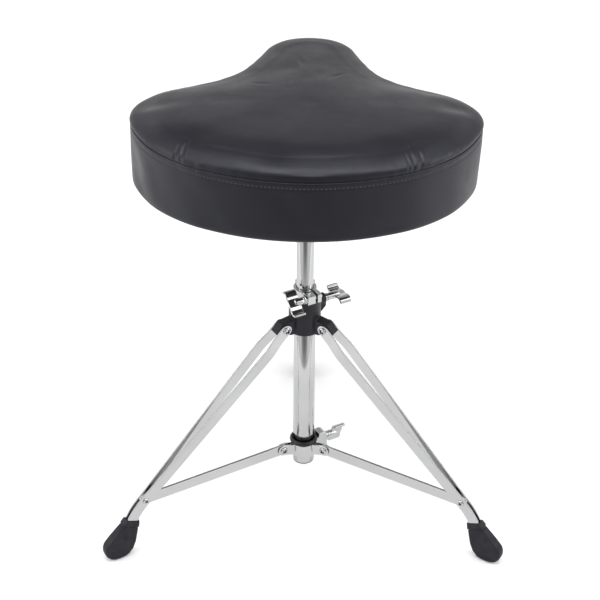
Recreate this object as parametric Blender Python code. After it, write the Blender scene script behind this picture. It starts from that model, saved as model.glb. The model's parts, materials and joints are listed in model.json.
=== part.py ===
"""Drum throne: a saddle-shaped seat on a height-adjustable post and a folding, double-braced tripod.

Metres, +Z up, +Y towards the seat's nose. The origin is on the floor, under the middle of the whole object.
Legs, hub and collar are laid out round the post's axis, in planes of radius and height.
"""

import math

import bmesh
import bpy
from mathutils import Matrix, Vector

MM = 0.001
GAP = 0.3 * MM  # kept between pieces that touch

# Layout. Radii are from the post's axis and heights are from the floor.
LEG_AZIMUTHS = (90, 210, 330)
FOOT_REACH = 301 * MM
SEAT_REAR = 160.5 * MM
AXIS_Y = (SEAT_REAR - FOOT_REACH) / 2
LEG_PIVOT = (32.2 * MM, 282.6 * MM)
BRACE_PIVOT = (239.5 * MM, 80.0 * MM)
CLEVIS_PIVOT = (32.5 * MM, 83.3 * MM)
WING_AZIMUTH = 28
SEAT_TURN = -1.5  # degrees

# Seat. Its outline at the seam runs from the middle of the back round one side to the nose, in mm.
SEAT_BACK = (0, -160.5)
SEAT_SIDE = (
    (58, -154.5),
    (110, -138),
    (148, -117),
    (183, -84.5),
    (207, -42),
    (213.4, -10),
    (204, 21),
    (180, 47.5),
    (146, 65.5),
    (112, 83),
    (86, 107),
    (71, 134),
    (61, 158),
    (50.5, 183),
    (30, 202.5),
)
SEAT_NOSE = (0, 209.5)
SEAM_Z = 579.4 * MM
CROWN_MIDDLE_Y = -10 * MM
CROWN_RISE = (  # share of the outline, height above the seam in mm
    (1, 0),
    (0.985, 5.5),
    (0.962, 10),
    (0.925, 14),
    (0.86, 17.6),
    (0.72, 21.6),
    (0.5, 24.8),
    (0.25, 26.5),
    (0.08, 27),
)
BAND_BOTTOM_Z = 497.4 * MM
BAND_BOTTOM = ((4.5, 0), (1.6, 1.2), (0.4, 4.5), (0, 40))  # inset, height above the band's bottom, in mm
SKIRT = 9 * MM
BOARD_Z = (499.0 * MM, 510.9 * MM)
DUST_COVER_Z = (497.8 * MM, 498.6 * MM)
PLATE_Z = (494.4 * MM, 497.4 * MM)
PLATE_HALF = 50 * MM
SCREW_OFFSET = 38 * MM

# Post, base tube and hub.
POST_RADIUS = 11.1 * MM
POST_WALL = 1.8 * MM
POST_Z = (150 * MM, 493 * MM)
TUBE_RADIUS = 14.3 * MM
TUBE_WALL = 1.4 * MM
TUBE_Z = (58.2 * MM, 316 * MM)
HUB_RADIUS = 21 * MM
HUB_Z = (271.6 * MM, 322.7 * MM)
HUB_BOLT_Z = 310 * MM
HUB_BOSS = 7.6 * MM
EAR_HALF = 7.2 * MM

# Memory lock on the post.
LOCK_RADII = (11.4 * MM, 15.2 * MM)
LOCK_Z = (323.2 * MM, 336.2 * MM)
LOCK_SCREW_AZIMUTH = 208
LOCK_SCREW_OFFSET = 20.5 * MM
LOCK_REAR_OFFSET = 18.5 * MM

# Lower collar.
COLLAR_RADIUS = 17.2 * MM
COLLAR_Z = (68.5 * MM, 88.5 * MM)
COLLAR_RING_Z = (88.8 * MM, 94.8 * MM)
COLLAR_RING_RADIUS = 18.7 * MM
COLLAR_BOLT_AZIMUTH = 30
COLLAR_BOLT_Z = 82.5 * MM
CLEVIS_PLATE = (2.0 * MM, 3.8 * MM)

# Legs, braces and feet.
BAR_WIDTH = 15 * MM
BAR_THICKNESS = 2.5 * MM
BAR_CHAMFER = 0.7 * MM
BRACE_HALF = 1.6 * MM
CHANNEL_HALF = 0.7 * MM
BOW_RADIUS = 85 * MM
BOW_START = 6 * MM
FOOT_ANGLE = 22  # degrees from vertical
BAR_TAIL = 14 * MM
FOOT_ROUNDING = ((7.2, 3.4), (6.4, 1.5), (4.6, 0.3), (2.6, 0))  # distance from the middle plane, inset, in mm
FOOT_MIDDLE = (272 * MM, 31 * MM)
FOOT_PROFILE = (  # radius, height, in mm
    (250, 51.5),
    (267.8, 58.4),
    (299.3, 25.5),
    (301, 20.5),
    (301, 14),
    (298.8, 7.5),
    (294, 2.6),
    (287.5, 0),
    (276, 0),
    (268.5, 2.2),
    (261.5, 9),
    (256.8, 19.5),
    (253, 33),
    (251, 42),
)
STRAIGHT_MARKS = (0, 14, 22, 30, 38, 90, 160, 230, 270)  # along a leg from its pivot, in mm
BOW_STEPS = 5
BAR_OFFSETS = (  # length along a leg, distance of a bar's middle from the leg's middle plane, in mm
    (0, 8.8),
    (14, 8.9),
    (22, 9.6),
    (30, 11.1),
    (38, 11.9),
    (284, 3.2),
    (400, 3.2),
)

# Wing bolts: M8 in the hub, the collar and the seat's socket, M6 in the memory lock.
WING_BARREL = (  # radius, length from the bolt's face, in mm
    (5.6, 0),
    (5.6, 2.5),
    (4.6, 3.2),
    (4.6, 8),
    (5.2, 9),
    (5.2, 15.5),
    (3.5, 17.5),
)
NECK_END = 3  # the first row of the barrel that a longer neck moves
WING_BOW = ((0, 0), (4.5, -0.8), (9.4, -2.9), (13.6, -3.8), (17.1, -2.3), (19.6, 0.9))  # half the S, in mm
WING_AXIAL = (12 * MM, 25.5 * MM)
WING_THICKNESS = 3.2 * MM
HUB_NECK = 4.5 * MM  # how much longer than the others' the hub bolt's neck is
HUB_WING_TURN = 8  # degrees
MEMORY_WING_TURN = -25
COLLAR_WING_TURN = -56
M8, M6 = 3.9 * MM, 2.9 * MM
PIVOT_SHANK = 2.9 * MM

FINISHES = {  # colour, roughness, metallic
    "chrome": ((0.78, 0.79, 0.80), 0.12, 1.0),
    "zinc_steel": ((0.62, 0.62, 0.60), 0.35, 1.0),
    "black_nylon": ((0.025, 0.025, 0.028), 0.45, 0.0),
    "black_steel": ((0.02, 0.02, 0.02), 0.40, 0.3),
    "black_plastic": ((0.02, 0.02, 0.022), 0.40, 0.0),
    "rubber": ((0.022, 0.022, 0.024), 0.60, 0.0),
    "vinyl": ((0.030, 0.030, 0.034), 0.42, 0.0),
    "plywood": ((0.50, 0.36, 0.22), 0.70, 0.0),
    "dust_fabric": ((0.015, 0.015, 0.015), 0.90, 0.0),
}


# ---------------------------------------------------------------- helpers


def clear_scene():
    for obj in list(bpy.data.objects):
        bpy.data.objects.remove(obj, do_unlink=True)


def add_empty(name, parent=None, location=(0, 0, 0), turn=0.0):
    """An empty that carries the pieces on one axis; turn is in degrees about Z."""
    obj = bpy.data.objects.new(name, None)
    obj.empty_display_size = 0.02
    obj.location = location
    obj.rotation_euler = (0, 0, math.radians(turn))
    obj.parent = parent
    bpy.context.collection.objects.link(obj)
    return obj


def principled(name, finish):
    colour, roughness, metallic = FINISHES[finish]
    material = bpy.data.materials.new(f"{name}_{finish}")
    material.use_nodes = True
    shader = material.node_tree.nodes["Principled BSDF"]
    shader.inputs["Base Color"].default_value = (*colour, 1)
    shader.inputs["Roughness"].default_value = roughness
    shader.inputs["Metallic"].default_value = metallic
    return material


def add_mesh(name, loops, parent, matrix=None, ring=False):
    """Skins loops of equally many points into one closed body, capped at its ends unless it is a ring."""
    bm = bmesh.new()
    rows = [[bm.verts.new(point) for point in loop] for loop in loops]
    count = len(rows[0])
    for low, high in zip(rows, rows[1:] + rows[:1] if ring else rows[1:]):
        for i in range(count):
            j = (i + 1) % count
            bm.faces.new((low[i], low[j], high[j], high[i]))
    if not ring:
        bm.faces.new(rows[0])
        bm.faces.new(rows[-1])
    if matrix is not None:
        bm.transform(matrix)
    bmesh.ops.recalc_face_normals(bm, faces=bm.faces)
    mesh = bpy.data.meshes.new(name)
    bm.to_mesh(mesh)
    bm.free()
    obj = bpy.data.objects.new(name, mesh)
    obj.parent = parent
    bpy.context.collection.objects.link(obj)
    return obj


def part(name, finish, loops, parent, matrix=None, ring=False):
    """A piece of the throne, shaded smooth except at its edges."""
    obj = add_mesh(name, loops, parent, matrix, ring)
    obj.data.materials.append(principled(name, finish))
    obj.data.shade_smooth()
    obj.data.set_sharp_from_angle(angle=math.radians(35))
    return obj


def tool(name, loops, parent, matrix=None, ring=False):
    """A helper shape that only Booleans use."""
    obj = add_mesh(name, loops, parent, matrix, ring)
    obj.hide_render = True
    obj.display_type = "WIRE"
    return obj


def boolean(obj, operand, operation):
    modifier = obj.modifiers.new(operand.name, "BOOLEAN")
    modifier.operation = operation
    modifier.object = operand
    modifier.solver = "EXACT"


def cut(obj, *tools):
    for operand in tools:
        boolean(obj, operand, "DIFFERENCE")


def join(obj, *tools):
    for operand in tools:
        boolean(obj, operand, "UNION")


def prism(outline, low, high):
    """An outline in X and Y, from low to high along Z."""
    return [[Vector((x, y, z)) for x, y in outline] for z in (low, high)]


def plate(outline, low, high):
    """An outline in X and Z, from low to high along Y."""
    return [[Vector((x, y, z)) for x, z in outline] for y in (low, high)]


def turned(profile, segments=24):
    """Circles of the profile's (radius, height) points, for a body with solid ends."""
    return [
        [
            Vector((r * math.cos(a), r * math.sin(a), z))
            for a in (math.tau * i / segments for i in range(segments))
        ]
        for r, z in profile
    ]


def tube_profile(inner, outer, low, high):
    return [(inner, low), (outer, low), (outer, high), (inner, high)]


def rod(radius, low, high, segments=12):
    return turned([(radius, low), (radius, high)], segments)


def box(x, y, z):
    return prism([(x[0], y[0]), (x[1], y[0]), (x[1], y[1]), (x[0], y[1])], *z)


def arc(centre, radius, start, end, steps):
    """Points on an arc, with angles in degrees."""
    points = []
    for i in range(steps + 1):
        a = math.radians(start + (end - start) * i / steps)
        points.append((centre[0] + radius * math.cos(a), centre[1] + radius * math.sin(a)))
    return points


def along_x(x=0.0, y=0.0, z=0.0):
    """Stands a turned shape's axis along +X, through the given point."""
    return Matrix.Translation((x, y, z)) @ Matrix.Rotation(math.pi / 2, 4, "Y")


def along_y(x=0.0, y=0.0, z=0.0):
    return Matrix.Translation((x, y, z)) @ Matrix.Rotation(-math.pi / 2, 4, "X")


def rotated(point, degrees):
    a = math.radians(degrees)
    x, y = point
    return (x * math.cos(a) - y * math.sin(a), x * math.sin(a) + y * math.cos(a))


def smooth_curve(points, steps, closed=False):
    """A Catmull-Rom curve through the points."""
    curve = []
    count = len(points)
    for i in range(count if closed else count - 1):
        if closed:
            p = [Vector(points[(i + k) % count]) for k in (-1, 0, 1, 2)]
        else:
            p = [Vector(points[min(max(i + k, 0), count - 1)]) for k in (-1, 0, 1, 2)]
        for step in range(steps):
            t = step / steps
            curve.append(
                0.5
                * (
                    2 * p[1]
                    + (p[2] - p[0]) * t
                    + (2 * p[0] - 5 * p[1] + 4 * p[2] - p[3]) * t**2
                    + (3 * p[1] - p[0] - 3 * p[2] + p[3]) * t**3
                )
            )
    if not closed:
        curve.append(Vector(points[-1]))
    return curve


# ---------------------------------------------------------------- fasteners


def wing_bolt(name, axis, face, shank, tip, turn=0.0, neck=0.0):
    """A wing bolt along the empty's +X: its barrel starts at face and its shank ends at tip."""
    profile = [(shank - 0.8 * MM, tip), (shank, tip + 0.8 * MM), (shank, face)]
    for i, (r, x) in enumerate(WING_BARREL):
        profile.append((r * MM, face + x * MM + (neck if i >= NECK_END else 0)))
    bolt = part(name, "chrome", turned(profile, 14), axis, along_x())
    half = [Vector(point) * MM for point in WING_BOW]
    spine = smooth_curve([-point for point in reversed(half[1:])] + half, 2)
    low, high = (face + neck + x for x in WING_AXIAL)
    loops = []
    for i, point in enumerate(spine):
        along = (spine[min(i + 1, len(spine) - 1)] - spine[max(i - 1, 0)]).normalized()
        side = Vector((-along.y, along.x)) * WING_THICKNESS / 2
        inner, outer = point - side, point + side
        loops.append([(low, *inner), (low, *outer), (high, *outer), (high, *inner)])
    wings = tool(f"{name}_wings", loops, axis, Matrix.Rotation(math.radians(turn), 4, "X"))
    join(bolt, wings)
    return bolt


def pivot_bolt(name, axis, half, shank=PIVOT_SHANK, head=5.2 * MM):
    """A bolt along the empty's Y with a low head at each end; half is where the heads start."""
    profile = [
        (head - 1.2 * MM, -half - 2.2 * MM),
        (head, -half - 1.2 * MM),
        (head, -half),
        (shank, -half),
        (shank, half),
        (head, half),
        (head, half + 1.2 * MM),
        (head - 1.2 * MM, half + 2.2 * MM),
    ]
    return part(name, "chrome", turned(profile, 12), axis, along_y())


# ---------------------------------------------------------------- seat


def seat_outline(inset=0.0):
    """The seat's plan at its seam: a broad rear arc, round shoulders, hollow flanks and a round nose."""
    left = [(-x, y) for x, y in reversed(SEAT_SIDE)]
    points = [SEAT_BACK, *SEAT_SIDE, SEAT_NOSE, *left]
    curve = smooth_curve([Vector(point) * MM for point in points], 2, closed=True)
    count = len(curve)
    outline = []
    for i, point in enumerate(curve):
        along = (curve[(i + 1) % count] - curve[i - 1]).normalized()
        outline.append(point + Vector((-along.y, along.x)) * inset)
    return outline


def seat_cushion(axis):
    """The upholstered cushion: a band up to the seam, a crowned top panel, and a recess for the board."""
    loops = prism(seat_outline(SKIRT), BOARD_Z[1] + GAP, BAND_BOTTOM_Z)
    for inset, height in BAND_BOTTOM:
        z = BAND_BOTTOM_Z + height * MM
        loops.append([Vector((*point, z)) for point in seat_outline(inset * MM)])
    edge = seat_outline()
    middle = Vector((0, CROWN_MIDDLE_Y))
    for share, rise in CROWN_RISE:
        z = SEAM_Z + rise * MM
        loops.append([Vector((*(middle + (point - middle) * share), z)) for point in edge])
    return part("seat_cushion", "vinyl", loops, axis)


def seat_base(axis):
    """The board inside the cushion, its dust cover, and the tee nuts and screws that hold the bracket."""
    outline = seat_outline(SKIRT + 0.5 * MM)
    board = part("seat_board", "plywood", prism(outline, *BOARD_Z), axis)
    cover = part("dust_cover", "dust_fabric", prism(outline, *DUST_COVER_Z), axis)
    corners = [(x * SCREW_OFFSET, y * SCREW_OFFSET) for x in (-1, 1) for y in (-1, 1)]
    flange_bottom = BOARD_Z[1] - 1.5 * MM
    for i, (x, y) in enumerate(corners, 1):
        corner = add_empty(f"bracket_screw_{i}_axis", axis, (x, y, 0))
        hole_profile = [
            (4.5 * MM, DUST_COVER_Z[0] - MM),
            (4.5 * MM, flange_bottom - GAP),
            (9.3 * MM, flange_bottom - GAP),
            (9.3 * MM, BOARD_Z[1] + MM),
        ]
        hole = tool(f"bracket_screw_{i}_hole", turned(hole_profile, 12), corner)
        cut(board, hole)
        cut(cover, hole)
        nut_profile = [
            (3.3 * MM, BOARD_Z[0] + MM),
            (4.2 * MM, BOARD_Z[0] + MM),
            (4.2 * MM, flange_bottom),
            (9 * MM, flange_bottom),
            (9 * MM, BOARD_Z[1]),
            (3.3 * MM, BOARD_Z[1]),
        ]
        part(f"tee_nut_{i}", "zinc_steel", turned(nut_profile, 12), corner, ring=True)
        head = PLATE_Z[0] - GAP
        screw_profile = [
            (3.2 * MM, head - 2.6 * MM),
            (5 * MM, head - 1.6 * MM),
            (5 * MM, head),
            (3 * MM, head),
            (3 * MM, BOARD_Z[1] - 0.5 * MM),
        ]
        part(f"bracket_screw_{i}", "zinc_steel", turned(screw_profile, 12), corner)
    return corners


def seat_bracket(axis, corners):
    """A square plate with the clamp socket that the post goes into, and its wing bolt."""
    radius = 12 * MM
    straight = PLATE_HALF - radius
    outline = []
    for i, (x, y) in enumerate(((1, 1), (-1, 1), (-1, -1), (1, -1))):
        outline += arc((x * straight, y * straight), radius, 90 * i, 90 * i + 90, 4)
    bracket = part("seat_bracket", "black_steel", prism(outline, *PLATE_Z), axis)
    socket_low = 452.5 * MM
    overlap = PLATE_Z[0] + MM
    socket = [(18 * MM, socket_low), (18 * MM, PLATE_Z[0] - 8 * MM), (26 * MM, overlap)]
    join(bracket, tool("seat_socket", turned(socket, 32), axis))
    front = add_empty("seat_bolt_axis", axis, (0, 0, 472 * MM), 90)
    face = 27 * MM
    join(bracket, tool("seat_boss", box((12 * MM, face), (-8 * MM, 8 * MM), (-9 * MM, 9 * MM)), front))
    bore = rod(POST_RADIUS + GAP, socket_low - MM, POST_Z[1] + 0.4 * MM, 32)
    cut(bracket, tool("seat_socket_bore", bore, axis))
    cut(bracket, tool("seat_bolt_hole", rod(M8 + GAP, 5 * MM, face + MM), front, along_x()))
    for i, (x, y) in enumerate(corners, 1):
        hole = rod(3.3 * MM, PLATE_Z[0] - MM, PLATE_Z[1] + MM)
        cut(bracket, tool(f"plate_hole_{i}", hole, axis, Matrix.Translation((x, y, 0))))
    wing_bolt("seat_wing_bolt", front, face + GAP, M8, POST_RADIUS + 0.4 * MM)


# ---------------------------------------------------------------- post and memory lock


def post(axis):
    inner = POST_RADIUS - POST_WALL
    wall = tube_profile(inner, POST_RADIUS, *POST_Z)
    part("post", "chrome", turned(wall, 32), axis, ring=True)
    low = POST_Z[0]
    plug = [
        (9.5 * MM, low - 2.4 * MM),
        (10.8 * MM, low - 1.4 * MM),
        (10.8 * MM, low - GAP),
        (inner - GAP, low - GAP),
        (inner - GAP, low + 9 * MM),
        (inner - 1.5 * MM, low + 11 * MM),
    ]
    part("post_end_plug", "black_plastic", turned(plug, 20), axis)


def memory_lock(axis):
    """A split ring: jaws and a wing screw at its rear left, and a plain bolt on the nose side."""
    middle = sum(LOCK_Z) / 2
    half_height = (LOCK_Z[1] - LOCK_Z[0]) / 2 - 0.5 * MM
    jaws = add_empty("memory_jaws", axis, (0, 0, middle), LOCK_SCREW_AZIMUTH)
    screw_place = along_x(0, LOCK_SCREW_OFFSET, 0)
    screw_hole = tool("memory_screw_hole", rod(M6 + GAP, -25 * MM, 25 * MM), jaws, screw_place)
    rear_place = along_x(0, LOCK_REAR_OFFSET, middle)
    rear_hole = tool("memory_rear_hole", rod(2.8 * MM, -20 * MM, 20 * MM), axis, rear_place)
    bore = rod(LOCK_RADII[0], LOCK_Z[0] - MM, LOCK_Z[1] + MM, 32)
    bore = tool("memory_bore", bore, axis)
    jaw_low, slit_low, slit_high, jaw_high = (x * MM for x in (-10.5, -5, -2, 9))
    slit_offset = math.asin(-(slit_low + slit_high) / 2 / LOCK_RADII[1])
    slit_angle = LOCK_SCREW_AZIMUTH + 90 + math.degrees(slit_offset)
    lug_gap, lug_end = 0.8 * MM, 10.5 * MM
    sides = (
        ("left", "DIFFERENCE", -1, (slit_high, jaw_high), (-lug_end, -lug_gap)),
        ("right", "INTERSECT", 1, (jaw_low, slit_low), (lug_gap, lug_end)),
    )
    for side, operation, sign, jaw_span, lug_span in sides:
        disk = turned([(LOCK_RADII[1], z) for z in LOCK_Z], 32)
        half = part(f"memory_lock_{side}", "chrome", disk, axis)
        corner = rotated((sign * lug_gap, 0), (slit_angle - 270) / 2)
        reach = 60 * MM
        edge = rotated((reach, 0), slit_angle)
        far = (corner[0] + edge[0], corner[1] + edge[1])
        wedge = [corner, far, (reach, -reach), (reach, reach), (corner[0], reach)]
        region = prism(wedge, LOCK_Z[0] - MM, LOCK_Z[1] + MM)
        boolean(half, tool(f"memory_region_{side}", region, axis), operation)
        jaw = box(jaw_span, (12.5 * MM, 26 * MM), (-half_height, half_height))
        join(half, tool(f"memory_jaw_{side}", jaw, jaws))
        lug = box(lug_span, (12.5 * MM, 23 * MM), (middle - half_height, middle + half_height))
        join(half, tool(f"memory_lug_{side}", lug, axis))
        cut(half, bore, screw_hole, rear_hole)
    bolt_axis = add_empty("memory_rear_bolt_axis", axis, (0, LOCK_REAR_OFFSET, middle), 90)
    pivot_bolt("memory_rear_bolt", bolt_axis, lug_end + GAP, 2.5 * MM, 4.6 * MM)
    screw_axis = add_empty("memory_screw_axis", jaws, (0, LOCK_SCREW_OFFSET, 0))
    wing_bolt("memory_wing_bolt", screw_axis, jaw_high + GAP, M6, -13 * MM, MEMORY_WING_TURN)


# ---------------------------------------------------------------- hub and base tube


def leg_hub(axis, pivots):
    """The moulding on top of the base tube, with an ear for each leg and a boss for the wing bolt."""
    hub = part("leg_hub", "black_nylon", turned([(HUB_RADIUS, z) for z in HUB_Z], 40), axis)
    r, z = LEG_PIVOT
    ear = [
        (13 * MM, 295 * MM),
        (22 * MM, 293.2 * MM),
        (37 * MM, 291 * MM),
        (46.5 * MM, 280 * MM),
        (42 * MM, 274.2 * MM),
        (r, z - 8 * MM),
        (24 * MM, HUB_Z[0]),
        (13 * MM, HUB_Z[0]),
    ]
    ear = [(x - r, height - z) for x, height in ear]
    for i, pivot in enumerate(pivots, 1):
        join(hub, tool(f"hub_ear_{i}", plate(ear, -EAR_HALF, EAR_HALF), pivot))
    bolt_axis = add_empty("hub_bolt_axis", axis, (0, 0, HUB_BOLT_Z), WING_AZIMUTH)
    face = 28 * MM
    web = [(13.5, 1), (27.8, 1), (27.8, -8.6), (22.5, -14.5), (13.5, -19)]
    web = plate([(x * MM, height * MM) for x, height in web], MM - HUB_BOSS, HUB_BOSS - MM)
    join(hub, tool("hub_boss", rod(HUB_BOSS, 13 * MM, face, 24), bolt_axis, along_x()))
    join(hub, tool("hub_boss_web", web, bolt_axis))
    lip = TUBE_Z[1] + 2.6 * MM
    bore = [
        (TUBE_RADIUS + GAP, HUB_Z[0] - MM),
        (TUBE_RADIUS + GAP, lip),
        (POST_RADIUS + 0.5 * MM, lip),
        (POST_RADIUS + 0.5 * MM, HUB_Z[1] + MM),
    ]
    cut(hub, tool("hub_bore", turned(bore, 32), axis))
    bolt_hole = tool("hub_bolt_hole", rod(M8 + GAP, 5 * MM, face + MM), bolt_axis, along_x())
    cut(hub, bolt_hole)
    for i, pivot in enumerate(pivots, 1):
        hole = rod(PIVOT_SHANK + GAP, -EAR_HALF - MM, EAR_HALF + MM)
        cut(hub, tool(f"ear_hole_{i}", hole, pivot, along_y()))
    tip = POST_RADIUS + 0.4 * MM
    wing_bolt("hub_wing_bolt", bolt_axis, face + GAP, M8, tip, HUB_WING_TURN, HUB_NECK)
    return bolt_hole


def base_tube(axis, bolt_hole):
    """The fixed tube, the bush that the post slides in, and the cap in the tube's lower end."""
    inner = TUBE_RADIUS - TUBE_WALL
    outer = tube_profile(inner, TUBE_RADIUS, *TUBE_Z)
    tube = part("base_tube", "chrome", turned(outer, 32), axis, ring=True)
    cut(tube, bolt_hole)
    top = TUBE_Z[1]
    flange = top + 2.3 * MM
    bush = [
        (POST_RADIUS + GAP, top - 46 * MM),
        (inner - GAP, top - 46 * MM),
        (inner - GAP, top + GAP),
        (TUBE_RADIUS, top + GAP),
        (TUBE_RADIUS, flange),
        (POST_RADIUS + GAP, flange),
    ]
    sleeve = part("hub_bush", "black_plastic", turned(bush, 28), axis, ring=True)
    cut(sleeve, bolt_hole)
    low = TUBE_Z[0]
    cap = [
        (TUBE_RADIUS - 1.6 * MM, low - 2.4 * MM),
        (TUBE_RADIUS - 0.3 * MM, low - 1.2 * MM),
        (TUBE_RADIUS - 0.3 * MM, low - GAP),
        (inner - GAP, low - GAP),
        (inner - GAP, low + 10 * MM),
        (inner - 1.5 * MM, low + 12 * MM),
    ]
    part("tube_end_cap", "black_plastic", turned(cap, 20), axis)


# ---------------------------------------------------------------- lower collar and braces


def lower_collar(axis, clevises):
    """The sliding collar: a band with a pair of plates for each brace and a boss for its wing bolt."""
    collar = part("lower_collar", "chrome", turned([(COLLAR_RADIUS, z) for z in COLLAR_Z], 32), axis)
    r, z = CLEVIS_PIVOT
    outline = [(15 * MM - r, 70.5 * MM - z), (30 * MM - r, -8 * MM)]
    outline += arc((0, 0), 8 * MM, -90, 90, 8)
    outline += [(27 * MM - r, 7.4 * MM), (19.5 * MM - r, 88 * MM - z), (15 * MM - r, 88 * MM - z)]
    for i, clevis in enumerate(clevises, 1):
        for name, side in (("right", -1), ("left", 1)):
            low, high = sorted(side * y for y in CLEVIS_PLATE)
            join(collar, tool(f"clevis_plate_{i}_{name}", plate(outline, low, high), clevis))
    bolt_axis = add_empty("collar_bolt_axis", axis, (0, 0, COLLAR_BOLT_Z), COLLAR_BOLT_AZIMUTH)
    face = 33 * MM
    boss = [(12, 5.6), (19.3, 5.6), (20.5, 12), (28, 12), (31.5, 10), (33, 6), (33, -11.5), (12, -11.5)]
    boss = [(x * MM, height * MM) for x, height in boss]
    join(collar, tool("collar_boss", plate(boss, -7 * MM, 7 * MM), bolt_axis))
    bore = rod(TUBE_RADIUS + GAP, COLLAR_Z[0] - MM, COLLAR_Z[1] + MM, 32)
    cut(collar, tool("collar_bore", bore, axis))
    cut(collar, tool("collar_bolt_hole", rod(M8 + GAP, 8 * MM, face + MM), bolt_axis, along_x()))
    for i, clevis in enumerate(clevises, 1):
        hole = rod(PIVOT_SHANK + GAP, -6 * MM, 6 * MM)
        cut(collar, tool(f"clevis_hole_{i}", hole, clevis, along_y()))
        pivot_bolt(f"clevis_bolt_{i}", clevis, CLEVIS_PLATE[1] + GAP)
    wing_bolt("collar_wing_bolt", bolt_axis, face + GAP, M8, TUBE_RADIUS + 0.4 * MM, COLLAR_WING_TURN)
    low, high = COLLAR_RING_Z
    inner = TUBE_RADIUS + GAP
    ring = [
        (inner, low),
        (COLLAR_RING_RADIUS - 0.8 * MM, low),
        (COLLAR_RING_RADIUS, low + 1.2 * MM),
        (COLLAR_RING_RADIUS, high - 2.2 * MM),
        (COLLAR_RING_RADIUS - 2.2 * MM, high),
        (inner, high),
    ]
    part("collar_ring", "black_plastic", turned(ring, 28), axis, ring=True)


def brace(index, clevis):
    """A flat bar with round ends and a channel along its top, from the clevis to between the leg's bars."""
    dx = BRACE_PIVOT[0] - CLEVIS_PIVOT[0]
    dz = BRACE_PIVOT[1] - CLEVIS_PIVOT[1]
    length = math.hypot(dx, dz)
    slope = Matrix.Rotation(-math.atan2(dz, dx), 4, "Y")
    radius = BAR_WIDTH / 2
    outline = arc((0, 0), radius, 90, 270, 8) + arc((length, 0), radius, -90, 90, 8)
    bar = part(f"brace_{index}", "chrome", plate(outline, -BRACE_HALF, BRACE_HALF), clevis, slope)
    span = (14 * MM, length - 14 * MM)
    channel = box(span, (-CHANNEL_HALF, CHANNEL_HALF), (-4 * MM, radius + MM))
    cut(bar, tool(f"brace_channel_{index}", channel, clevis, slope))
    cut(bar, tool(f"brace_hole_{index}", rod(PIVOT_SHANK + GAP, -5 * MM, 5 * MM), clevis, along_y()))


# ---------------------------------------------------------------- legs and feet


def leg_spread():
    """The angle from vertical of a leg's straight part, and the length from its pivot to the brace's."""
    dr = BRACE_PIVOT[0] - LEG_PIVOT[0]
    dz = LEG_PIVOT[1] - BRACE_PIVOT[1]
    return math.atan2(dr, dz), math.hypot(dr, dz)


def straight_line():
    """A leg's straight part, as (length, radius, height, angle from vertical) from its pivot."""
    spread, length = leg_spread()
    stations = (*(mark * MM for mark in STRAIGHT_MARKS), length + BOW_START)
    return [(s, s * math.sin(spread), -s * math.cos(spread), spread) for s in stations]


def bowed_line():
    """The rest of the leg's middle line: the bow below the brace's pivot and the tail inside the foot."""
    start, x, z, spread = straight_line()[-1]
    centre_x, centre_z = x - BOW_RADIUS * math.cos(spread), z - BOW_RADIUS * math.sin(spread)
    line = []
    for i in range(1, BOW_STEPS + 1):
        angle = spread + (math.radians(FOOT_ANGLE) - spread) * i / BOW_STEPS
        x = centre_x + BOW_RADIUS * math.cos(angle)
        z = centre_z + BOW_RADIUS * math.sin(angle)
        line.append((start + BOW_RADIUS * (spread - angle), x, z, angle))
    s, x, z, angle = line[-1]
    line.append((s + BAR_TAIL, x + BAR_TAIL * math.sin(angle), z - BAR_TAIL * math.cos(angle), angle))
    return line


def bar_offset(s):
    """How far a bar's middle stands from the leg's middle plane."""
    for (a, low), (b, high) in zip(BAR_OFFSETS, BAR_OFFSETS[1:]):
        if s <= b * MM:
            return (low + (high - low) * (s / MM - a) / (b - a)) * MM
    return BAR_OFFSETS[-1][1] * MM


def bar_section(width, thickness, chamfer):
    x, y = width / 2, thickness / 2
    quarter = [(x, y - chamfer), (x, -y + chamfer), (x - chamfer, -y), (-x + chamfer, -y)]
    return [(-a, -b) for a, b in quarter] + quarter


def section_loop(centre, angle, section):
    """A section standing across a line at a point, where the line is at an angle from vertical."""
    across = Vector((math.cos(angle), 0, math.sin(angle)))
    return [centre + across * a + Vector((0, b, 0)) for a, b in section]


def swept_bar(line, side, section):
    """Loops of a section along a line, at a bar's place on one side, or in the middle where side is 0."""
    return [section_loop(Vector((x, side * bar_offset(s), z)), angle, section) for s, x, z, angle in line]


def rounded_start(side):
    """Narrowing loops above the pivot, which make a bar's round end."""
    spread, _ = leg_spread()
    radius = BAR_WIDTH / 2
    loops = []
    for degrees in (82, 62, 40, 20):
        back = radius * math.sin(math.radians(degrees))
        width = 2 * radius * math.cos(math.radians(degrees))
        centre = Vector((-back * math.sin(spread), side * bar_offset(0), back * math.cos(spread)))
        section = bar_section(width, BAR_THICKNESS, min(BAR_CHAMFER, width / 4))
        loops.append(section_loop(centre, spread, section))
    return loops


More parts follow.
